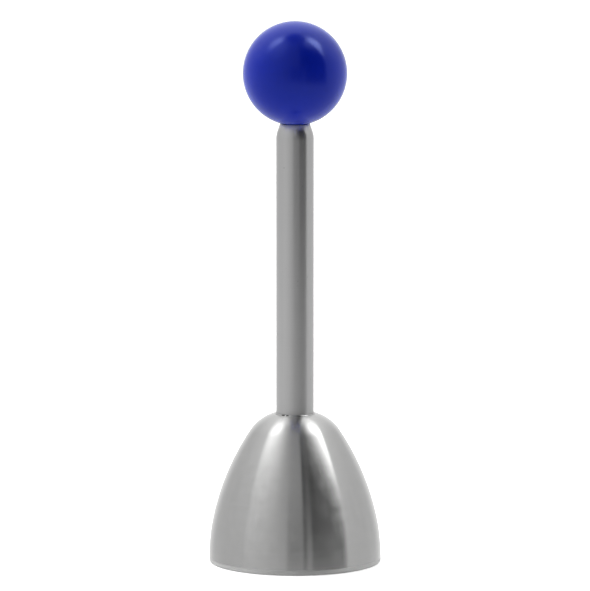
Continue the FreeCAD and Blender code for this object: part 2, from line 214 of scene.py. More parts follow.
class Studio(bpy.types.PropertyGroup):
    """Camera and floor."""

    distance: length("Distance", "Camera in front of the topper", 1.400)
    height: length("Height", "Camera above the floor", 0.2480)
    pitch: turn("Pitch", "How far the camera looks down", 7.462)
    lens: FloatProperty(
        name="Lens", description="Focal length in millimetres", default=358.3, min=1.0,
        unit="CAMERA",
    )
    floor: length("Floor", "Radius of the floor", 4.0)
    floor_white: share("Floor white", "Diffuse white of the floor", 0.88)
    floor_lift: share("Floor lift", "White added to the floor for the camera", 0.20)


class Topper(bpy.types.PropertyGroup):
    """Everything that the sidebar offers."""

    bell: PointerProperty(type=BellSizes, name="Bell", description="Sizes of the bell")
    tube: PointerProperty(type=TubeSizes, name="Tube", description="Sizes of the tube and bush")
    plunger: PointerProperty(
        type=PlungerSizes, name="Plunger", description="Sizes of the rod, the spring and the ball"
    )
    finishes: PointerProperty(type=Finishes, name="Finishes", description="Colours and smears")
    studio: PointerProperty(type=Studio, name="Studio", description="Camera and floor")


# ---------------------------------------------------------------- turned shapes


def spin(bm, geometry, angle, steps, centre=ORIGIN, axis=AXIS, rise=0.0, close=False):
    """Sweeps geometry round an axis, rising at each step, and gives the end of the sweep."""
    made = bmesh.ops.spin(
        bm, geom=geometry, cent=centre, axis=axis, dvec=axis * rise, angle=angle, steps=steps,
        use_merge=close, use_normal_flip=False, use_duplicate=False,
    )
    return made["geom_last"]


def towards(angle):
    """One metre in the plane of a half section, at an angle from outwards to upwards."""
    return Vector((math.cos(angle), 0.0, math.sin(angle)))


class HalfSection:
    """A half section in the XZ plane, drawn edge by edge from one point and turned about Z."""

    def __init__(self, radius, height):
        self.bm = bmesh.new()
        self.first = self.bm.verts.new((radius, 0.0, height))
        self.tip = self.first
        self.heading = 0.0

    def to(self, radius, height):
        """A straight edge to a place."""
        start = self.tip.co.copy()
        self.tip = bmesh.ops.extrude_vert_indiv(self.bm, verts=[self.tip])["verts"][0]
        self.tip.co = (radius, 0.0, height)
        self.heading = math.atan2(height - start.z, radius - start.x)

    def bend(self, radius, angle, steps):
        """A tangent arc. A positive angle turns it from outwards to upwards to inwards."""
        side = self.heading + math.copysign(QUARTER_TURN, angle)
        centre = self.tip.co + towards(side) * radius
        last = spin(self.bm, [self.tip], -angle, steps, centre=centre, axis=SECTION_NORMAL)
        self.tip = next(g for g in last if isinstance(g, bmesh.types.BMVert))
        self.heading += angle

    def turned(self, steps):
        """The solid that the section sweeps. A section that doesn't end on the axis is closed."""
        ends = (self.tip, self.first)
        if any(end.co.x > NEAR for end in ends):
            self.bm.edges.new(ends)
        spin(self.bm, self.bm.verts[:] + self.bm.edges[:], FULL_TURN, steps, close=True)
        bmesh.ops.remove_doubles(self.bm, verts=self.bm.verts, dist=NEAR)
        bmesh.ops.dissolve_degenerate(self.bm, edges=self.bm.edges, dist=NEAR)
        bmesh.ops.recalc_face_normals(self.bm, faces=self.bm.faces)
        return self.bm


def break_edge(bm, radius, height, width):
    """Rounds the ring of edges at one radius and height."""
    def on_ring(vert):
        off = abs(math.hypot(vert.co.x, vert.co.y) - radius)
        return off < NEAR and abs(vert.co.z - height) < NEAR

    ring = [edge for edge in bm.edges if all(on_ring(v) for v in edge.verts)]
    bmesh.ops.bevel(
        bm, geom=ring, offset=width, offset_type="OFFSET", affect="EDGES", segments=BREAK_STEPS,
        profile=0.5, material=-1, clamp_overlap=True,
    )


def piece(bm, name, body, slot, material, *nodes):
    """A finished piece that rides on a body and stands for the frame's nodes."""
    mesh = bpy.data.meshes.new(name)
    bm.to_mesh(mesh)
    bm.free()
    mesh.shade_smooth()
    mesh.set_sharp_from_angle(angle=SHARP)
    made = bpy.data.objects.new(name, mesh)
    bpy.context.scene.collection.objects.link(made)
    mesh.materials.append(material)
    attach(made, body)
    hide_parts(*nodes)
    return made


def dress(material, *nodes):
    """Gives nodes of the frame their finish."""
    for node in nodes:
        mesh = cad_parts[node].data
        mesh.materials.clear()
        mesh.materials.append(material)


# ---------------------------------------------------------------- material maths


class Wire:
    """A value on its way through a material. Python's operators on it add Math nodes."""

    def __init__(self, tree, socket):
        self.tree = tree
        self.socket = socket

    def maths(self, operation, *values):
        """A Math node on some values."""
        node = self.tree.nodes.new("ShaderNodeMath")
        node.operation = operation
        for socket, value in zip(node.inputs, values):
            feed(self.tree, socket, value)
        return Wire(self.tree, node.outputs[0])

    def __add__(self, other):
        return self.maths("ADD", self, other)

    def __radd__(self, other):
        return self.maths("ADD", other, self)

    def __sub__(self, other):
        return self.maths("SUBTRACT", self, other)

    def __rsub__(self, other):
        return self.maths("SUBTRACT", other, self)

    def __mul__(self, other):
        return self.maths("MULTIPLY", self, other)

    def __rmul__(self, other):
        return self.maths("MULTIPLY", other, self)

    def __truediv__(self, other):
        return self.maths("DIVIDE", self, other)

    def __rtruediv__(self, other):
        return self.maths("DIVIDE", other, self)

    def __neg__(self):
        return self.maths("MULTIPLY", self, -1.0)

    def __abs__(self):
        return self.maths("ABSOLUTE", self)

    def root(self):
        return self.maths("SQRT", self)

    def at_least(self, limit):
        return self.maths("MAXIMUM", self, limit)

    def at_most(self, limit):
        return self.maths("MINIMUM", self, limit)

    def arcsine(self):
        """In degrees."""
        return self.maths("ARCSINE", self) * DEGREES

    def arctan2(self, other):
        """In degrees."""
        return self.maths("ARCTAN2", self, other) * DEGREES


def feed(tree, socket, value):
    """Links a wire to a socket, or sets the socket to a plain value."""
    if isinstance(value, Wire):
        tree.links.new(value.socket, socket)
    else:
        socket.default_value = value


class Recipe:
    """The node tree of a material or of the world, as it is put together."""

    def __init__(self, owner):
        owner.use_nodes = True
        self.owner = owner
        self.tree = owner.node_tree
        self.tree.nodes.clear()

    def add(self, kind, settings=None, sockets=None, output=0):
        """Adds a node: its settings first, then the values or links of its sockets."""
        node = self.tree.nodes.new(kind)
        for name, value in (settings or {}).items():
            setattr(node, name, value)
        for name, value in (sockets or {}).items():
            feed(self.tree, node.inputs[name], value)
        return Wire(self.tree, node.outputs[output]) if node.outputs else None

    def spot(self):
        """Object coordinates."""
        return self.add("ShaderNodeTexCoord", output="Object")

    def split(self, vector):
        """A vector's x, y and z."""
        node = self.add("ShaderNodeSeparateXYZ", None, {0: vector}).socket.node
        return [Wire(self.tree, part) for part in node.outputs]

    def vector(self, x, y, z):
        """A vector from its x, y and z."""
        return self.add("ShaderNodeCombineXYZ", None, {0: x, 1: y, 2: z})

    def noise(self, where, scale, detail=2.0, roughness=0.5):
        """Noise from 0 to 1."""
        return self.add(
            "ShaderNodeTexNoise", {"noise_dimensions": "3D"},
            {"Vector": where, "Scale": scale, "Detail": detail, "Roughness": roughness},
        )

    def ease(self, value, low, high, start=0.0, end=1.0):
        """A smooth step from start to end as value goes from low to high."""
        return self.add(
            "ShaderNodeMapRange", {"interpolation_type": "SMOOTHSTEP", "clamp": True},
            {"Value": value, 1: low, 2: high, 3: start, 4: end},
        )

    def zone(self, z, face, heights):
        """From 0 to 1 between two heights above a face."""
        low, high = heights
        return self.ease(z, face + low, face + high)

    def blend(self, factor, first, second):
        """From the first colour to the second."""
        return self.add(
            "ShaderNodeMix", {"data_type": "RGBA", "clamp_factor": True},
            {0: factor, 6: first, 7: second}, output=2,
        )

    def bump(self, height, distance):
        """A normal from a height between 0 and 1, with its depth in metres."""
        return self.add(
            "ShaderNodeBump", None, {"Height": height, "Distance": distance, "Strength": 1.0}
        )

    def surface(self, sockets):
        """Ends the tree in a principled shader."""
        return self.output(self.add("ShaderNodeBsdfPrincipled", None, sockets))

    def output(self, shader):
        """Ends the tree in a shader, and gives the material."""
        self.add("ShaderNodeOutputMaterial", None, {"Surface": shader})
        return self.owner


# ---------------------------------------------------------------- finishes

SMEAR_TURN = 0.25            # lays the brushed steel's smear along the axis
BRUSHED_MATT = 0.271         # the roughest that the bell's brushing gets
DRAWN_MATT = 0.277           # the smoothest that the tube's drawn skin gets

# Heights in metres above a face: where a mark starts to show, and where it is full.
ROLLED = (-0.0016, -0.0003)  # the matt ring, from the tube's top
WORN = (0.0013, 0.0009)      # the worn rim, from its foot
BEAD = (0.00001, 0.00006)    # the bead, from the crown
GRIME = (-0.0004, -0.0001)   # the specks of polish, from the crown

# Specks of black polish left against the tube's foot: degrees to the camera's right, and size.
GRIME_SPECKS = ((-35, 0.00062), (-22, 0.00045))


def new_recipe(name):
    """The empty recipe of a new material."""
    return Recipe(bpy.data.materials.new(name))


def shade(rgb, factor=1.0):
    """A colour with its alpha, made lighter or darker."""
    return (*(part * factor for part in rgb), 1.0)


def sway(noise, amount):
    """A noise moved down to swing about 0, over a range of one amount."""
    return (noise - 0.5) * amount


def off_axis(x, y):
    """How far a place is from the axis."""
    return (x * x + y * y).root()


def lathe_lines(recipe, x, y, z, spacing, line=0.02):
    """Rings as a lathe or a polishing wheel leaves them: their spacing and length in metres."""
    across = (z - off_axis(x, y)) * (1.0 / spacing)
    around = 1.0 / line
    return recipe.noise(recipe.vector(x * around, y * around, across), 1.0, 3.0, 0.6)


def axial_streaks(recipe, x, y, z, width, streak=0.030):
    """Streaks along the axis: their width and length in metres."""
    around = 1.0 / width
    return recipe.noise(recipe.vector(x * around, y * around, z * (1.0 / streak)), 1.0, 3.0)


def tube_steel(settings):
    """Drawn tube: brushed, with drawing streaks, duller towards the foot and the rolled-in end."""
    finishes = settings.finishes
    recipe = new_recipe("tube_steel")
    spot = recipe.spot()
    x, y, z = recipe.split(spot)
    fine = lathe_lines(recipe, x, y, z, spacing=0.00012)
    streaks = axial_streaks(recipe, x, y, z, width=0.0011)
    hands = recipe.noise(spot, scale=110.0)
    specks = recipe.noise(recipe.vector(x, y, z * 0.6), scale=700.0)
    specks = recipe.ease(specks, 0.72, 0.76)
    dulled = recipe.ease(z, TUBE_HIGH.z, TUBE_LOW.z)
    rolled = recipe.zone(z, TUBE_HIGH.z, ROLLED)
    lines = fine * 0.5 + streaks * 0.5
    tone = recipe.blend(lines, shade(finishes.tube, 0.92), shade(finishes.tube, 1.06))
    tone = recipe.blend(specks * 0.25, tone, shade(finishes.tube, 0.4))
    skin = (0.29 + sway(hands, 0.07) + sway(lines, 0.07)).at_least(DRAWN_MATT)
    return recipe.surface(
        {
            "Base Color": tone,
            "Metallic": 1.0 - dulled * 0.06 - rolled * 0.22,
            "Roughness": skin + dulled * 0.08 + rolled * 0.06,
            "Anisotropic": finishes.tube_smear,
            "Anisotropic Rotation": SMEAR_TURN,
            "Normal": recipe.bump(fine, 0.000003),
        }
    )


def foot_grime(recipe, settings, spot, x, y, z):
    """1 in the specks of polish against the tube's foot, ragged at their edges, and 0 elsewhere."""
    foot = settings.tube.radius + settings.bell.bead
    specks = 0.0
    for degrees, size in GRIME_SPECKS:
        angle = math.radians(degrees)
        off = off_axis(x - foot * math.sin(angle), y + foot * math.cos(angle))
        specks = recipe.ease(off, size, size * 0.6) + specks
    ragged = recipe.ease(recipe.noise(spot, scale=4000.0, detail=3.0), 0.25, 0.45)
    return specks * recipe.zone(z, settings.bell.crown, GRIME) * ragged


def bell_steel(settings):
    """The bell's own steel: brushed, worn matt along the rim, with specks of black at the tube."""
    bell, finishes = settings.bell, settings.finishes
    recipe = new_recipe("bell_steel")
    spot = recipe.spot()
    x, y, z = recipe.split(spot)
    fine = lathe_lines(recipe, x, y, z, spacing=0.0003, line=0.03)
    coarse = lathe_lines(recipe, x, y, z, spacing=0.0008, line=0.03)
    scuffs = recipe.ease(lathe_lines(recipe, x, y, z, spacing=0.0003, line=0.012), 0.60, 0.80)
    level = 0.02 / off_axis(x, y)
    wiped = axial_streaks(recipe, x * level, y * level, z, width=0.0016)
    hands = recipe.noise(spot, scale=110.0)
    rubbing = recipe.noise(spot, scale=420.0, detail=3.0)
    lines = fine * 0.45 + coarse * 0.2 + wiped * 0.35
    marks = lines * 0.6 + rubbing * 0.4
    worn = recipe.zone(z, 0.0, WORN)
    bead = recipe.zone(z, bell.crown, BEAD)
    grime = foot_grime(recipe, settings, spot, x, y, z)
    tone = recipe.blend(marks, shade(finishes.bell, 0.89), shade(finishes.bell, 1.10))
    tone = recipe.blend(worn, tone, shade(finishes.bell, 1.02))
    tone = recipe.blend(grime * 0.9, tone, shade((0.03, 0.03, 0.03)))
    brushing = 0.248 + sway(marks, 0.16) + sway(hands, 0.08) + scuffs * 0.03
    brushing = brushing.at_most(BRUSHED_MATT)
    return recipe.surface(
        {
            "Base Color": tone,
            "Metallic": 1.0 - worn * 0.38,
            "Roughness": brushing + worn * 0.42 - bead * 0.12 + grime * 0.3,
            "Anisotropic": finishes.bell_smear,
            "Anisotropic Rotation": SMEAR_TURN,
            "Normal": recipe.bump(lines, 0.000004),
        }
    )


def ground_steel(name, rgb):
    """Ground and polished rod, with faint rings and a film of oil."""
    recipe = new_recipe(name)
    spot = recipe.spot()
    rings = lathe_lines(recipe, *recipe.split(spot), spacing=0.00006)
    film = recipe.noise(spot, scale=260.0, detail=3.0)
    return recipe.surface(
        {
            "Base Color": recipe.blend(film, shade(rgb, 0.93), shade(rgb, 1.03)),
            "Metallic": 1.0,
            "Roughness": 0.14 + rings * 0.06 + film * 0.08,
            "Anisotropic": 0.5,
            "Anisotropic Rotation": SMEAR_TURN,
            "Normal": recipe.bump(rings, 0.000001),
        }
    )


def turned_steel(name, rgb):
    """Bright turned steel with its feed lines."""
    recipe = new_recipe(name)
    spot = recipe.spot()
    feed_lines = lathe_lines(recipe, *recipe.split(spot), spacing=0.00018, line=0.05)
    stain = recipe.noise(spot, scale=180.0, detail=3.0)
    return recipe.surface(
        {
            "Base Color": recipe.blend(stain, shade(rgb, 0.85), shade(rgb, 1.08)),
            "Metallic": 1.0,
            "Roughness": 0.26 + feed_lines * 0.12 + stain * 0.06,
            "Anisotropic": 0.6,
            "Anisotropic Rotation": SMEAR_TURN,
            "Normal": recipe.bump(feed_lines, 0.000008),
        }
    )


def plated_steel(name, rgb):
    """Bright zinc: a soft blue-white with a cloudy, slightly orange-peeled surface."""
    recipe = new_recipe(name)
    spot = recipe.spot()
    cloud = recipe.noise(spot, scale=420.0, detail=3.0)
    grain = recipe.noise(spot, scale=5200.0)
    bluer = (rgb[0] * 0.97, rgb[1], rgb[2] * 1.04)
    return recipe.surface(
        {
            "Base Color": recipe.blend(cloud, shade(rgb, 0.86), shade(bluer, 1.05)),
            "Metallic": 1.0,
            "Roughness": 0.24 + cloud * 0.16,
            "Normal": recipe.bump(grain, 0.000004),
        }
    )


def drawn_wire(name, rgb):
    """Oiled spring steel: fine grain and darker patches."""
    recipe = new_recipe(name)
    spot = recipe.spot()
    patches = recipe.noise(spot, scale=500.0, detail=3.0)
    grain = recipe.noise(spot, scale=7000.0)
    return recipe.surface(
        {
            "Base Color": recipe.blend(patches, shade(rgb, 0.72), shade(rgb, 1.08)),
            "Metallic": 1.0,
            "Roughness": 0.26 + patches * 0.16,
            "Normal": recipe.bump(grain, 0.000003),
        }
    )


def machined_brass(name, rgb):
    """Machined brass, a little darker where it has dulled."""
    recipe = new_recipe(name)
    spot = recipe.spot()
    feed_lines = lathe_lines(recipe, *recipe.split(spot), spacing=0.00015, line=0.05)
    dull = recipe.noise(spot, scale=300.0, detail=3.0)
    return recipe.surface(
        {
            "Base Color": recipe.blend(dull, shade(rgb, 0.80), shade(rgb, 1.05)),
            "Metallic": 1.0,
            "Roughness": 0.22 + feed_lines * 0.12 + dull * 0.08,
            "Normal": recipe.bump(feed_lines, 0.000006),
        }
    )


def turned_acetal(name, rgb):
    """Black acetal, turned: satin with fine rings."""
    recipe = new_recipe(name)
    spot = recipe.spot()
    rings = lathe_lines(recipe, *recipe.split(spot), spacing=0.00012, line=0.05)
    cloud = recipe.noise(spot, scale=500.0)
    return recipe.surface(
        {
            "Base Color": recipe.blend(cloud, shade(rgb, 0.8), shade(rgb, 1.2)),
            "Roughness": 0.38 + rings * 0.14,
            "Normal": recipe.bump(rings, 0.000008),
        }
    )


def polished_plastic(name, rgb):
    """Moulded and polished: faint waves, rubbing marks, a slight cloud of colour and a sheen."""
    recipe = new_recipe(name)
    spot = recipe.spot()
    x, y, z = recipe.split(spot)
    cloud = recipe.noise(spot, scale=90.0)
    waves = recipe.noise(spot, scale=180.0, detail=1.0)
    rubbing = recipe.noise(recipe.vector(x * 900.0, y * 900.0, z * 4200.0), 1.0, 3.0)
    return recipe.surface(
        {
            "Base Color": recipe.blend(cloud, shade(rgb, 0.92), shade(rgb, 1.06)),
            "Roughness": 0.18 + sway(rubbing, 0.03) + sway(cloud, 0.03),
            "Specular IOR Level": 0.75,
            "Specular Tint": (0.31, 0.42, 1.0, 1.0),
            "Sheen Weight": 0.30,
            "Sheen Roughness": 0.40,
            "Sheen Tint": (0.14, 0.24, 1.0, 1.0),
            "Normal": recipe.bump(waves, 0.000003),
        }
    )


# ---------------------------------------------------------------- pieces


def make_bell(settings):
    """Spun cup with one wall thickness, a rounded rim and a flat crown."""
    bell = settings.bell
    whole_turn = sum(bell.flank_turns)
    under_crown = bell.crown - bell.wall
    clear_of_tube = settings.tube.radius + NEAR

    section = HalfSection(bell.rim_radius - bell.outer_round, 0.0)
    section.bend(bell.outer_round, QUARTER_TURN, RIM_STEPS)
    section.to(bell.rim_radius, bell.land)
    for radius, angle, steps in zip(bell.flank_radii, bell.flank_turns, FLANK_STEPS):
        section.bend(radius, angle, steps)
    under_corner = section.tip.co - towards(whole_turn) * bell.wall
    section.to(clear_of_tube + 2 * bell.bead, bell.crown)
    section.heading = QUARTER_TURN
    section.bend(bell.bead, HALF_TURN, BEAD_STEPS)
    section.to(bell.screw_hole, bell.crown)
    section.to(bell.screw_hole, under_crown)
    section.to(under_corner.x, under_corner.z)
    section.heading = QUARTER_TURN + whole_turn + HALF_TURN
    arcs = list(zip(bell.flank_radii, bell.flank_turns, INNER_FLANK_STEPS))
    for radius, angle, steps in reversed(arcs):
        section.bend(radius - bell.wall, -angle, steps)
    section.to(bell.rim_radius - bell.wall, bell.inner_round)
    section.bend(bell.inner_round, QUARTER_TURN, LIP_STEPS)
    return section.turned(BELL_AROUND)


def make_tube(settings):
    """Drawn tube with a rounded foot and its upper end rolled in to a taper."""
    tube = settings.tube
    foot, top = TUBE_LOW.z, TUBE_HIGH.z
    bore = tube.radius - tube.wall
    slope = math.atan2(tube.radius - tube.nose_radius, tube.nose_height)
    inner_blend = tube.nose_blend - tube.wall
    inner_reach = inner_blend * math.tan(slope / 2)
    inner_tip = Vector((tube.nose_radius, 0.0, top)) - towards(slope) * tube.wall
    inner_corner = inner_tip.z - (bore - inner_tip.x) / math.tan(slope)

    section = HalfSection(bore, foot)
    section.to(tube.radius - tube.foot_round, foot)
    section.bend(tube.foot_round, QUARTER_TURN, FOOT_STEPS)
    section.to(tube.radius, top - tube.nose_height - tube.nose_blend * math.tan(slope / 2))
    section.bend(tube.nose_blend, slope, NOSE_STEPS)
    section.to(tube.nose_radius, top)
    section.to(inner_tip.x, inner_tip.z)
    section.to(
        bore - inner_reach * math.sin(slope), inner_corner + inner_reach * math.cos(slope)
    )
    section.heading = QUARTER_TURN + slope + HALF_TURN
    section.bend(inner_blend, -slope, INNER_NOSE_STEPS)
    bm = section.turned(TUBE_AROUND)
    break_edge(bm, tube.nose_radius, top, NOSE_EDGE)
    break_edge(bm, inner_tip.x, inner_tip.z, NOSE_EDGE)
    return bm


def make_bush(settings):
    """Acetal bush: body in the bore, shoulder under the taper, neck in the rolled-in mouth."""
    tube, plunger = settings.tube, settings.plunger
    body = tube.radius - tube.wall - tube.bush_gap
    neck = tube.nose_radius - tube.wall - tube.bush_gap
    bore = plunger.rod_radius + plunger.rod_clearance
    neck_base = TUBE_HIGH.z - tube.wall
    shoulder = neck_base - tube.nose_height * (body - neck) / (tube.radius - tube.nose_radius)
    base, top, edge = BUSH_LOW.z, BUSH_HIGH.z, tube.bush_chamfer
    neck_edge = edge * 0.75

    section = HalfSection(bore, base + edge)
    section.to(bore + edge, base)
    section.to(body - edge, base)
    section.to(body, base + edge)
    section.to(body, shoulder)
    section.to(neck, neck_base)
    section.to(neck, top - neck_edge)
    section.to(neck - neck_edge, top)
    section.to(bore + edge, top)
    section.to(bore, top - edge)
    return section.turned(SMALL_AROUND)


def make_rod(settings):
    """Steel rod: tail in the striker, shoulder on its top, plain shank up into the ball."""
    plunger = settings.plunger
    tail, shank, edge = plunger.tail_radius, plunger.rod_radius, plunger.chamfer

    section = HalfSection(0.0, ROD_LOW.z)
    section.to(tail - edge, ROD_LOW.z)
    section.to(tail, ROD_LOW.z + edge)
    section.to(tail, STRIKER_HIGH.z)
    section.to(shank, STRIKER_HIGH.z)
    section.to(shank, ROD_HIGH.z - edge)
    section.to(shank - edge, ROD_HIGH.z)
    section.to(0.0, ROD_HIGH.z)
    return section.turned(SMALL_AROUND)


def make_ball(settings):
    """Ball with a rounded flat below, the rod's mouth in it and the insert's seat above that."""
    plunger = settings.plunger
    radius, edge = plunger.ball_radius, plunger.flat_round
    flat, mouth_top = BALL_LOW.z, INSERT_LOW.z
    drop = BALL_HIGH.z - radius - flat - edge
    reach = math.sqrt((radius - edge) ** 2 - drop**2)
    round_turn = math.atan2(reach, drop)

    section = HalfSection(0.0, INSERT_HIGH.z)
    section.to(INSERT_HIGH.x, INSERT_HIGH.z)
    section.to(INSERT_HIGH.x, mouth_top)
    section.to(plunger.mouth_radius, mouth_top)
    section.to(plunger.mouth_radius, flat)
    section.to(reach, flat)
    section.bend(edge, round_turn, FLAT_STEPS)
    section.bend(radius, HALF_TURN - round_turn, BALL_STEPS)
    bm = section.turned(BALL_AROUND)
    break_edge(bm, plunger.mouth_radius, flat, MOUTH_EDGE)
    return bm


def make_spring(settings):
    """Compression spring: a closed coil at each end, ground flat, and active coils between."""
    plunger = settings.plunger
    low, high = SPRING_LOW.z, SPRING_HIGH.z
    closed_pitch = plunger.wire * CLOSED_PITCH
    open_pitch = (high - low - 2 * closed_pitch) / plunger.active_coils

    bm = bmesh.new()
    bmesh.ops.create_circle(bm, cap_ends=False, segments=WIRE_SIDES, radius=plunger.wire / 2)
    upright = Matrix.Rotation(QUARTER_TURN, 3, "X")
    bmesh.ops.rotate(bm, verts=bm.verts, cent=ORIGIN, matrix=upright)
    bmesh.ops.translate(bm, verts=bm.verts, vec=(plunger.coil_radius, 0.0, low))
    end = bm.edges[:]
    for coils, pitch in ((1, closed_pitch), (plunger.active_coils, open_pitch), (1, closed_pitch)):
        last = spin(bm, end, FULL_TURN * coils, COIL_STEPS * coils, rise=pitch / COIL_STEPS)
        end = [g for g in last if isinstance(g, bmesh.types.BMEdge)]
    for height, side in ((low, -1.0), (high, 1.0)):
        bmesh.ops.bisect_plane(
            bm, geom=bm.verts[:] + bm.edges[:] + bm.faces[:], dist=NEAR / 10,
            plane_co=(0.0, 0.0, height), plane_no=(0.0, 0.0, side), clear_outer=True,
        )
    bmesh.ops.holes_fill(bm, edges=[e for e in bm.edges if e.is_boundary], sides=0)
    bmesh.ops.recalc_face_normals(bm, faces=bm.faces)
    return bm


# ---------------------------------------------------------------- stage

# What stands round the topper in the studio, each thing in front of those above it: its brightness
# and its edges. An edge is an angle and its softness in degrees, and None leaves that side open.
# The angles are
#   compass  to the camera's right, round the floor,
#   height   above the horizon,
#   ahead    in front of the plane through the topper that faces the camera,
#   fold     the compass angle of an upright face that mirrors the direction to the camera, so an
#            edge of one fold runs down the steel as a straight line.
LEFT_END, RIGHT_END = (-98, 12), (95, 12)        # compass
LEFT_FOLD, RIGHT_FOLD = (-38, 1), (36.5, 2.5)
FAR_FOLD = (37.5, 1.5)
CAMERA_FOLD = (5.7, 0.6)
BESIDE = (-9, 6)                                 # ahead
PANELS = {
    "upper tent": (1.15, {"height": ((42, 29), None)}),
    "front": (0.34, {"compass": (LEFT_END, RIGHT_END), "fold": (LEFT_FOLD, RIGHT_FOLD)}),
    "left front": (0.63, {"compass": (LEFT_END, (-26, 43)), "fold": (LEFT_FOLD, None)}),
    "left overhead": (1.17, {
        "compass": (LEFT_END, (-38, 20)),
        "fold": (LEFT_FOLD, None),
        "height": ((42, 22), (68, 10)),
    }),
    "right flag": (0.075, {
        "compass": (None, RIGHT_END),
        "fold": (CAMERA_FOLD, RIGHT_FOLD),
        "height": (None, (68, 15)),
    }),
    "right upper flag": (0.02, {
        "compass": (None, RIGHT_END),
        "fold": ((12.5, 1.5), RIGHT_FOLD),
        "height": ((25, 35), None),
    }),
    "right glow": (1.0, {
        "compass": ((30, 12), None),
        "ahead": (None, (20, 8)),
        "fold": ((13, 3), FAR_FOLD),
        "height": ((54, 14), (75, 6)),
    }),
    "left strip box": (4.3, {
        "compass": (None, (-78, 3.5)),
        "ahead": (BESIDE, None),
        "fold": (LEFT_FOLD, None),
        "height": ((50, 16), (70, 7)),
    }),
    "right strip box": (5.6, {
        "compass": ((77.5, 4), None),
        "ahead": (BESIDE, (11.5, 3.5)),
        "fold": (None, FAR_FOLD),
        "height": ((37, 22), (69, 7)),
    }),
    "camera": (0.21, {"fold": ((-5.3, 0.8), CAMERA_FOLD), "height": ((-14, 10), (18, 10))}),
    "slot": (0.30, {"fold": ((8.2, 0.8), (11.8, 1.0)), "height": (None, (16, 16))}),
    "zenith": (0.19, {"height": ((76, 6), None)}),
    "low surround": (0.57, {"height": (None, (-17, 9))}),
    "floor behind": (0.74, {"ahead": (None, (-34, 12)), "height": (None, (-12, 9))}),
}
CAMERA_SIDE = 0.985          # level share of the direction to the camera
TENT_GREY = 0.60             # the tent where nothing stands in front of it
BACK_WHITE = 0.93            # its back
BACK_EDGE = (150, 17)        # compass, to either side

# The soft lamps: place and side in metres, and power in watts.
LAMPS = {
    "left_lamp": ((-0.9, 0.35, 0.9), 0.9, 22.0),
    "right_lamp": ((0.9, 0.5, 0.8), 0.8, 12.0),
}
LAMP_AIM = Vector((0.0, 0.0, 0.08))

SENSOR_WIDTH = 36.0          # millimetres
FARTHEST = 20.0              # metres that the camera sees


def across_edge(recipe, angle, edge, start=0.0, end=1.0):
    """From start to end as an angle crosses an edge."""
    at, softness = edge
    return recipe.ease(angle, at - softness, at + softness, start, end)


def between_edges(recipe, angle, start, stop):
    """1 from one edge to the other, and 0 beyond them."""
    mask = 1.0
    if start:
        mask = across_edge(recipe, angle, start) * mask
    if stop:
        mask = across_edge(recipe, angle, stop, 1.0, 0.0) * mask
    return mask


def set_surround():
    """The world: white for the camera, and for everything else a grey tent with soft boxes."""
    world = bpy.data.worlds.new("studio_tent")
    bpy.context.scene.world = world
    recipe = Recipe(world)
    x, y, z = recipe.split(recipe.add("ShaderNodeTexCoord", output="Generated"))
    compass = x.arctan2(-y)
    angles = {
        "compass": compass,
        "height": z.arcsine(),
        "ahead": (-y).arcsine(),
        "fold": x.arctan2(CAMERA_SIDE - y),
    }
    level = across_edge(recipe, abs(compass), BACK_EDGE, TENT_GREY, BACK_WHITE)
    for bright, edges in PANELS.values():
        mask = 1.0
        for measure, (start, stop) in edges.items():
            mask = between_edges(recipe, angles[measure], start, stop) * mask
        level = level * (1.0 - mask) + mask * bright
    seen = recipe.add("ShaderNodeLightPath", output="Is Camera Ray")
    level = level * (1.0 - seen) + seen
    background = recipe.add("ShaderNodeBackground", None, {"Color": level, "Strength": 1.0})
    recipe.add("ShaderNodeOutputWorld", None, {"Surface": background})


def floor_finish(studio):
    """Plain white floor, clear from below. A little white is added where the camera sees it."""
    recipe = new_recipe("studio_floor")
    seen = recipe.add("ShaderNodeLightPath", output="Is Camera Ray")
    white = shade((1.0, 1.0, 1.0), studio.floor_white)
    matt = recipe.add("ShaderNodeBsdfDiffuse", None, {"Color": white})
    lift = recipe.add("ShaderNodeEmission", None, {"Strength": seen * studio.floor_lift})
    top = recipe.add("ShaderNodeAddShader", None, {0: matt, 1: lift})
    clear = recipe.add("ShaderNodeBsdfTransparent")
    below = recipe.add("ShaderNodeNewGeometry", output="Backfacing")
    return recipe.output(recipe.add("ShaderNodeMixShader", None, {0: below, 1: top, 2: clear}))


def set_floor(studio):
    """The floor. The steel mirrors the low part of the tent in its place."""
    bm = bmesh.new()
    bmesh.ops.create_circle(bm, cap_ends=True, segments=SMALL_AROUND, radius=studio.floor)
    mesh = bpy.data.meshes.new("studio_floor")
    bm.to_mesh(mesh)
    bm.free()
    mesh.materials.append(floor_finish(studio))
    floor = bpy.data.objects.new("studio_floor", mesh)
    bpy.context.scene.collection.objects.link(floor)
    floor.visible_glossy = False


def set_lamp(name, place, side, power):
    """A soft square lamp turned towards the topper. Only matt surfaces take its light."""
    data = bpy.data.lights.new(name, "AREA")
    data.shape = "SQUARE"
    data.size = side
    data.energy = power
    lamp = bpy.data.objects.new(name, data)
    lamp.location = place
    lamp.rotation_euler = (LAMP_AIM - Vector(place)).to_track_quat("-Z", "Y").to_euler()
    lamp.visible_glossy = False
    lamp.visible_camera = False
    bpy.context.scene.collection.objects.link(lamp)


def set_camera(studio):
    """The camera, in front of the topper and looking slightly down."""
    data = bpy.data.cameras.new("studio_camera")
    data.lens = studio.lens
    data.sensor_width = SENSOR_WIDTH
    data.clip_end = FARTHEST
    camera = bpy.data.objects.new("studio_camera", data)
    camera.location = (0.0, -studio.distance, studio.height)
    camera.rotation_euler = (QUARTER_TURN - studio.pitch, 0.0, 0.0)
    bpy.context.scene.collection.objects.link(camera)
    bpy.context.scene.camera = camera


# ---------------------------------------------------------------- operators


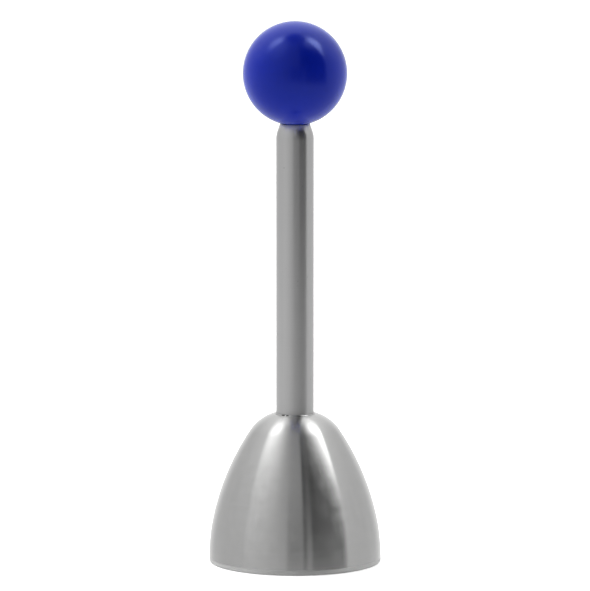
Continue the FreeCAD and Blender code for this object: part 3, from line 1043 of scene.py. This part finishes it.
class TOPPER_OT_bell(bpy.types.Operator):
    """Makes the spun steel bell"""

    bl_idname = "topper.bell"
    bl_label = "Bell"
    bl_options = {"REGISTER", "UNDO"}

    def execute(self, context):
        settings = context.scene.egg_topper
        steel = bell_steel(settings)
        piece(make_bell(settings), "bell_spun", "handle", "bell_steel", steel, "bell")
        return {"FINISHED"}


class TOPPER_OT_fastening(bpy.types.Operator):
    """Finishes the bell's screw and the washers of the screw and the spring"""

    bl_idname = "topper.fastening"
    bl_label = "Screw and washers"
    bl_options = {"REGISTER", "UNDO"}

    def execute(self, context):
        zinc = plated_steel("zinc_hardware", context.scene.egg_topper.finishes.zinc)
        dress(
            zinc, "bell_screw", "split_washer", "plain_washer",
            "upper_spring_washer", "lower_spring_washer",
        )
        return {"FINISHED"}


class TOPPER_OT_tube(bpy.types.Operator):
    """Makes the handle tube"""

    bl_idname = "topper.tube"
    bl_label = "Handle tube"
    bl_options = {"REGISTER", "UNDO"}

    def execute(self, context):
        settings = context.scene.egg_topper
        steel = tube_steel(settings)
        piece(make_tube(settings), "tube_drawn", "handle", "tube_steel", steel, "handle_tube")
        return {"FINISHED"}


class TOPPER_OT_bush(bpy.types.Operator):
    """Makes the guide bush in the tube's upper end"""

    bl_idname = "topper.bush"
    bl_label = "Guide bush"
    bl_options = {"REGISTER", "UNDO"}

    def execute(self, context):
        settings = context.scene.egg_topper
        acetal = turned_acetal("bush_plastic", settings.finishes.bush)
        piece(make_bush(settings), "bush_turned", "handle", "bush_plastic", acetal, "guide_bush")
        return {"FINISHED"}


class TOPPER_OT_striker(bpy.types.Operator):
    """Finishes the striker, its pin and the anvil plug below it"""

    bl_idname = "topper.striker"
    bl_label = "Striker and anvil"
    bl_options = {"REGISTER", "UNDO"}

    def execute(self, context):
        finishes = context.scene.egg_topper.finishes
        dress(turned_steel("turned_steel", finishes.turned), "striker", "anvil_plug")
        dress(drawn_wire("pin_steel", finishes.wire), "roll_pin")
        return {"FINISHED"}


class TOPPER_OT_spring(bpy.types.Operator):
    """Makes the striker spring at rest; the real spring closes as the ball is lifted"""

    bl_idname = "topper.spring"
    bl_label = "Striker spring"
    bl_options = {"REGISTER", "UNDO"}

    def execute(self, context):
        settings = context.scene.egg_topper
        steel = drawn_wire("spring_steel", settings.finishes.wire)
        spring = piece(
            make_spring(settings), "spring_wound", "handle", "spring_steel", steel, "striker_spring"
        )
        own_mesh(spring)
        return {"FINISHED"}


class TOPPER_OT_rod(bpy.types.Operator):
    """Makes the plunger rod"""

    bl_idname = "topper.rod"
    bl_label = "Plunger rod"
    bl_options = {"REGISTER", "UNDO"}

    def execute(self, context):
        settings = context.scene.egg_topper
        steel = ground_steel("ground_steel", settings.finishes.rod)
        piece(make_rod(settings), "rod_ground", "plunger", "ground_steel", steel, "plunger_rod")
        return {"FINISHED"}


class TOPPER_OT_ball(bpy.types.Operator):
    """Makes the ball knob and finishes the insert in it"""

    bl_idname = "topper.ball"
    bl_label = "Ball knob"
    bl_options = {"REGISTER", "UNDO"}

    def execute(self, context):
        settings = context.scene.egg_topper
        plastic = polished_plastic("knob_plastic", settings.finishes.ball)
        piece(make_ball(settings), "ball_moulded", "plunger", "knob_plastic", plastic, "ball_knob")
        dress(machined_brass("insert_brass", settings.finishes.brass), "knob_insert")
        return {"FINISHED"}


class TOPPER_OT_studio(bpy.types.Operator):
    """Sets the floor, the tent, the lamps and the camera"""

    bl_idname = "topper.studio"
    bl_label = "Studio"
    bl_options = {"REGISTER", "UNDO"}

    def execute(self, context):
        studio = context.scene.egg_topper.studio
        set_surround()
        set_floor(studio)
        for name, (place, side, power) in LAMPS.items():
            set_lamp(name, place, side, power)
        set_camera(studio)
        context.scene.view_settings.view_transform = "Standard"
        return {"FINISHED"}


MAKERS = (
    TOPPER_OT_bell,
    TOPPER_OT_fastening,
    TOPPER_OT_tube,
    TOPPER_OT_bush,
    TOPPER_OT_striker,
    TOPPER_OT_spring,
    TOPPER_OT_rod,
    TOPPER_OT_ball,
    TOPPER_OT_studio,
)


class TOPPER_PT_sidebar(bpy.types.Panel):
    """The topper's tab in the sidebar"""

    bl_idname = "TOPPER_PT_sidebar"
    bl_label = "Egg topper"
    bl_space_type = "VIEW_3D"
    bl_region_type = "UI"
    bl_category = "Egg topper"

    def draw(self, context):
        settings = context.scene.egg_topper
        for group in Topper.__annotations__:
            values = getattr(settings, group)
            box = self.layout.box()
            box.label(text=group.capitalize())
            for name in type(values).__annotations__:
                box.prop(values, name)
        for maker in MAKERS:
            self.layout.operator(maker.bl_idname)


CLASSES = (
    BellSizes, TubeSizes, PlungerSizes, Finishes, Studio, Topper, *MAKERS, TOPPER_PT_sidebar,
)


def register():
    """Adds the classes and the scene's settings."""
    for cls in CLASSES:
        bpy.utils.register_class(cls)
    bpy.types.Scene.egg_topper = PointerProperty(
        type=Topper, name="Egg topper", description="Sizes, colours and studio of the topper"
    )


def unregister():
    """Takes them away again."""
    del bpy.types.Scene.egg_topper
    for cls in reversed(CLASSES):
        bpy.utils.unregister_class(cls)


def main():
    """Makes the topper and its studio."""
    register()
    bpy.ops.topper.bell()
    bpy.ops.topper.fastening()
    bpy.ops.topper.tube()
    bpy.ops.topper.bush()
    bpy.ops.topper.striker()
    bpy.ops.topper.spring()
    bpy.ops.topper.rod()
    bpy.ops.topper.ball()
    bpy.ops.topper.studio()


if __name__ == "__main__":
    main()
